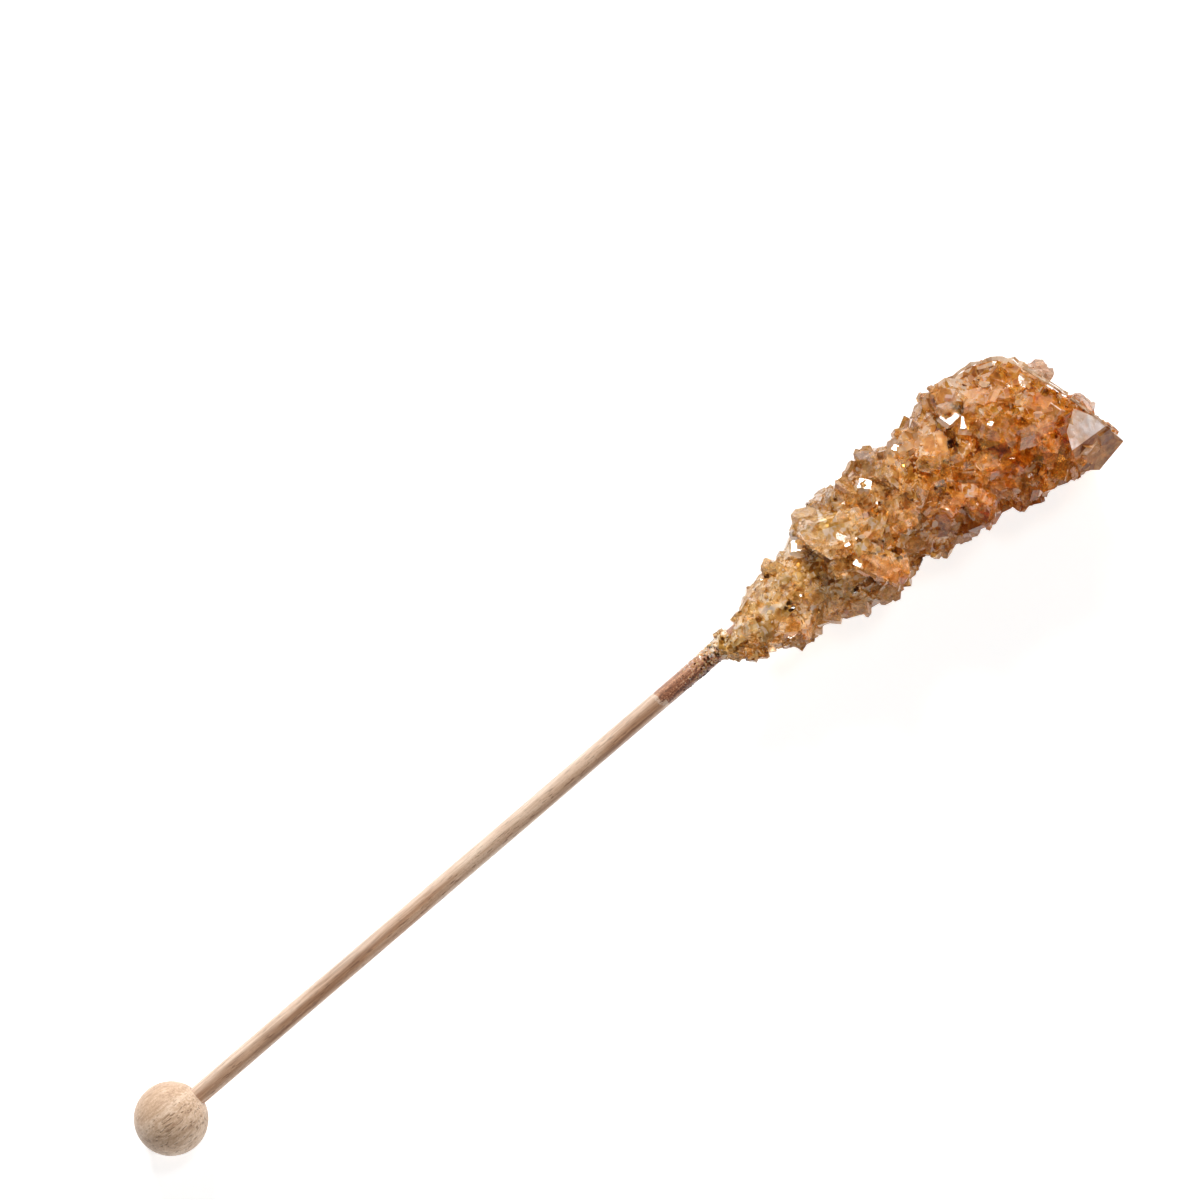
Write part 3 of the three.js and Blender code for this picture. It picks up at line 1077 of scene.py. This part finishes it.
def crystal_finish(name, clear, contrast):
    """Crystals that let so much of the light through, and whose facets differ so much."""
    material, tree = new_material(name)
    place = tree.place()
    grain = tree.cells(place, 1700.0) * 0.5 + tree.noise(place, 1500.0, 3.0, 0.65) * 0.5
    shine = (tree.value_of("tone") - 0.5) * contrast + 0.27 + grain * 0.45 + painted_light_left(tree, place)
    tan = [
        (0.10, (0.05, 0.014, 0.001)),
        (0.25, (0.46, 0.21, 0.030)),
        (0.50, (0.79, 0.59, 0.28)),
        (0.75, (0.92, 0.89, 0.83)),
    ]
    amber = [
        (0.10, (0.04, 0.007, 0.0005)),
        (0.25, (0.40, 0.11, 0.002)),
        (0.50, (0.72, 0.385, 0.05)),
        (0.75, (0.87, 0.74, 0.60)),
    ]
    colour = sugar_colour(tree, place, shine, tan, amber)
    tree.finish(sugar_glass(tree, {
        "Base Color": frosted(tree, place, colour),
        "Roughness": 0.01 + grain * 0.04 + tree.value_of("dull") * DULLNESS,
        "Transmission Weight": clear,
    }))
    return material


def smooth_finish():
    """Broad smooth faces, cloudy right under the surface."""
    material, tree = new_material("smooth_amber")
    place = tree.place()
    grain = tree.noise(place, 1400.0, 3.0, 0.7)
    cloud = tree.noise(place, 350.0, 2.0)
    flaw = tree.cells(place, 650.0)
    shine = tree.value_of("tone") + (grain - 0.5) * 0.45 + (cloud - 0.5) * 0.5 + (flaw - 0.5) * 0.3
    tree.finish(sugar_glass(tree, {
        "Base Color": tree.ramp(shine, [
            (0.10, (0.20, 0.06, 0.009)),
            (0.42, (0.54, 0.26, 0.075)),
            (0.68, (0.84, 0.62, 0.46)),
            (0.92, (0.97, 0.88, 0.83)),
        ]),
        "Roughness": 0.08 + cloud * 0.22,
        "Normal": bump(tree, cloud + flaw * 0.25 + grain * 0.3, 0.5, 0.3 * MM),
        "Transmission Weight": 0.35,
        "Specular IOR Level": 0.2,
    }))
    return material


def crust_finish():
    material, tree = new_material("pale_crust")
    place = tree.place()
    grain = tree.noise(place, 1300.0, 3.0, 0.6)
    tree.finish(sugar_glass(tree, {
        "Base Color": tree.ramp(tree.value_of("tone") * 0.6 + grain * 0.4, [
            (0.25, (0.26, 0.11, 0.04)),
            (0.48, (0.60, 0.39, 0.22)),
            (0.78, (0.90, 0.78, 0.64)),
        ]),
        "Roughness": 0.03 + grain * 0.1,
        "Transmission Weight": 0.25,
    }))
    return material


def core_finish():
    """The cloudy middle: broken sugar whose small faces each catch the light in their own way."""
    material, tree = new_material("amber_core")
    place = tree.place()
    cell = tree.add("ShaderNodeTexVoronoi", {}, {"Vector": place, "Scale": 1000.0}, "Color")
    tone = tree.add("ShaderNodeSeparateColor", {}, {"Color": cell}, "Red")
    fleck = tree.add("ShaderNodeSeparateColor", {}, {"Color": cell}, "Green")
    grain = tree.noise(place, 900.0, 4.0, 0.6)
    shine = tone * 0.7 + grain * 0.3
    tan = [
        (0.18, (0.28, 0.09, 0.008)),
        (0.45, (0.62, 0.375, 0.10)),
        (0.66, (0.83, 0.63, 0.30)),
        (0.85, (0.94, 0.88, 0.77)),
    ]
    amber = [
        (0.18, (0.22, 0.045, 0.001)),
        (0.45, (0.51, 0.205, 0.013)),
        (0.66, (0.71, 0.43, 0.08)),
        (0.85, (0.85, 0.75, 0.57)),
    ]
    outward = tree.add("ShaderNodeNewGeometry", {}, {}, "Normal")
    tilt = tree.add("ShaderNodeVectorMath", {"operation": "SUBTRACT"}, {0: cell, 1: (0.5, 0.5, 0.5)})
    tilted = tree.pushed(outward, tilt, FLAKE_TILT)
    tree.finish(principled(tree, {
        "Base Color": sugar_colour(tree, place, shine, tan, amber),
        "Metallic": tree.reach(fleck, 0.55, 0.6) * 0.7,
        "Roughness": 0.2,
        "Normal": tree.add("ShaderNodeVectorMath", {"operation": "NORMALIZE"}, {0: tilted}),
    }))
    return material


# Triangles are of one facet where their ways out and their distances round to the same steps.
FACET_TURNS, FACET_STEP = 40, 0.25 * MM


def make_mass(material):
    """The larger crystals, as the solid has them. Triangles of one facet share a tone."""
    triangles = candy_triangles(CANDY)
    normal = across_of(triangles)
    normal /= np.maximum(np.linalg.norm(normal, axis=1), 1e-15)[:, None]
    offset = (normal * triangles[:, 0]).sum(1)
    ways = np.round(normal * FACET_TURNS).astype(int)
    keys = [(*way, round(d / FACET_STEP)) for way, d in zip(ways, offset)]
    facets = {key: chance.random() for key in dict.fromkeys(keys)}
    tones = [facets[key] for key in keys]
    # How deep each triangle lies in a pit, for the painted shade there.
    pit_shades = pit_shade_at(triangles.mean(1))
    dull = near_any(DULL_SPOTS, triangles.mean(1)).astype(float)
    values = {"tone": tones, "depth": pit_shades, "dull": dull}
    mass = make_piece("candy_mass", MASS, candy_faces(), material, "amber_sugar", **values)
    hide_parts("candy")


CORE_SHARE = 0.8
CORE_COVER = 1.8 * MM


def make_core():
    """The cloudy middle that shows through the crystals. It ends just behind the candy's slanted end."""
    points = round_points(RING_X, OUTER_RADIUS * CORE_SHARE, RING_ANGLE)
    slanted = (points - (CANDY_START, 0, 0)) @ END_NORMAL
    points[:, 0] -= np.maximum(slanted - (END_FROM - CORE_COVER), 0) / END_NORMAL[0]
    faces = skin(CANDY_RINGS, CANDY_SIDES)
    make_piece("candy_core", points, faces, core_finish(), "amber_sugar", smooth=True)


# Studio.

PICTURE_WIDTH = 180 * MM
PICTURE_MIDDLE = Vector((99.8 * MM, 17.25 * MM, 0))
PICTURE_TURN = math.radians(40.6)
CAMERA_HEIGHT = 1.2
SENSOR_WIDTH = 36
LIGHT_BOUNCES = 16
FLOOR_SIDES, FLOOR_RADIUS = 64, 12.0


def make_camera():
    data = bpy.data.cameras.new("camera")
    data.sensor_width = SENSOR_WIDTH
    data.lens = SENSOR_WIDTH * CAMERA_HEIGHT / PICTURE_WIDTH
    camera = bpy.data.objects.new("camera", data)
    bpy.context.scene.collection.objects.link(camera)
    aim = LYING @ PICTURE_MIDDLE
    camera.location = (aim.x, aim.y, aim.z + CAMERA_HEIGHT)
    camera.rotation_euler = (0, 0, -PICTURE_TURN)
    bpy.context.scene.camera = camera


def make_lamp(name, azimuth, height, width, radiance):
    """A distant lamp that looks that wide in degrees. Azimuth is from +X towards +Y."""
    data = bpy.data.lights.new(name, "SUN")
    data.angle = math.radians(width)
    data.energy = radiance * 2 * math.pi * (1 - math.cos(data.angle / 2))
    lamp = bpy.data.objects.new(name, data)
    bpy.context.scene.collection.objects.link(lamp)
    way = way_to(azimuth, height)
    lamp.location = way
    lamp.rotation_euler = (-way).to_track_quat("-Z", "Y").to_euler()


def make_room():
    """An even pale room: bright walls, a dimmer ceiling."""
    world = bpy.data.worlds.new("room")
    bpy.context.scene.world = world
    tree = Tree(world)
    way = tree.add("ShaderNodeTexCoord", {}, {}, "Generated")
    height = tree.add("ShaderNodeSeparateXYZ", {}, {"Vector": way}, "Z")
    light = tree.ramp(height, [
        (0.1, (1.0, 1.0, 1.0)),
        (0.22, (0.3, 0.3, 0.3)),
        (0.6, (0.06, 0.06, 0.06)),
    ])
    shade = tree.add("ShaderNodeBackground", {}, {"Color": light, "Strength": 1.0})
    tree.add("ShaderNodeOutputWorld", {}, {"Surface": shade})


def make_floor():
    material, tree = new_material("pale_floor")
    tree.finish(principled(tree, {
        "Base Color": (0.92, 0.92, 0.92, 1),
        "Roughness": 0.7,
        "Emission Color": (1, 1, 1, 1),
        "Emission Strength": 0.58,
    }))
    mesh = bpy.data.meshes.new("floor")
    turns = [FULL_TURN * i / FLOOR_SIDES for i in range(FLOOR_SIDES)]
    rim = [(FLOOR_RADIUS * math.cos(turn), FLOOR_RADIUS * math.sin(turn), 0) for turn in turns]
    mesh.from_pydata(rim, [], [tuple(range(FLOOR_SIDES))])
    mesh.materials.append(material)
    floor = bpy.data.objects.new("floor", mesh)
    bpy.context.scene.collection.objects.link(floor)


make_dowel()
make_ball()
clear_sugar = crystal_finish("clear_amber", clear=0.74, contrast=0.58)
cloudy_sugar = crystal_finish("cloudy_amber", clear=0.6, contrast=0.9)
make_mass(mass_finish())
make_core()
crystals = grow_crystals(
    "candy_crystals", clear_sugar, count=1500, at_start=1.6 * MM, at_end=2.6 * MM,
    spread=0.36, proud=0.06, share=0.99, end_share=0.06,
)
grow_crystals(
    "candy_grains", cloudy_sugar, count=1800, at_start=0.7 * MM, at_end=1.0 * MM,
    spread=0.25, proud=0.35, share=MASS_SHARE, end_share=0.3,
)
grow_crystals(
    "candy_dust", cloudy_sugar, count=5000, at_start=0.4 * MM, at_end=0.55 * MM,
    spread=0.25, proud=0.4, share=MASS_SHARE, end_share=0.8,
)
tops = crystals.surface()
make_glints(tops, cloudy_sugar)
smooth_sugar = smooth_finish()
make_broad_blocks("candy_broad_blocks", smooth_sugar, BROAD_BLOCKS, tops, pale=0.55)
tip_block = make_tip_block(smooth_sugar)
make_crust(crust_finish())
make_neck_sugar(cloudy_sugar)
make_block_crystals(tip_block, smooth_sugar)
make_broad_blocks("candy_tip_steps", smooth_sugar, TIP_STEPS, tip_block.surface(), pale=0.25)

make_camera()
make_room()
make_floor()
make_lamp("key", KEY_AZIMUTH, KEY_HEIGHT, width=15, radiance=50)
make_lamp("fill", azimuth=-40, height=50, width=11, radiance=30)
make_lamp("spark", azimuth=20, height=62, width=9.5, radiance=17.5)
scene = bpy.context.scene
scene.view_settings.view_transform = "Standard"
scene.cycles.max_bounces = LIGHT_BOUNCES
scene.cycles.transmission_bounces = LIGHT_BOUNCES
scene.cycles.transparent_max_bounces = LIGHT_BOUNCES
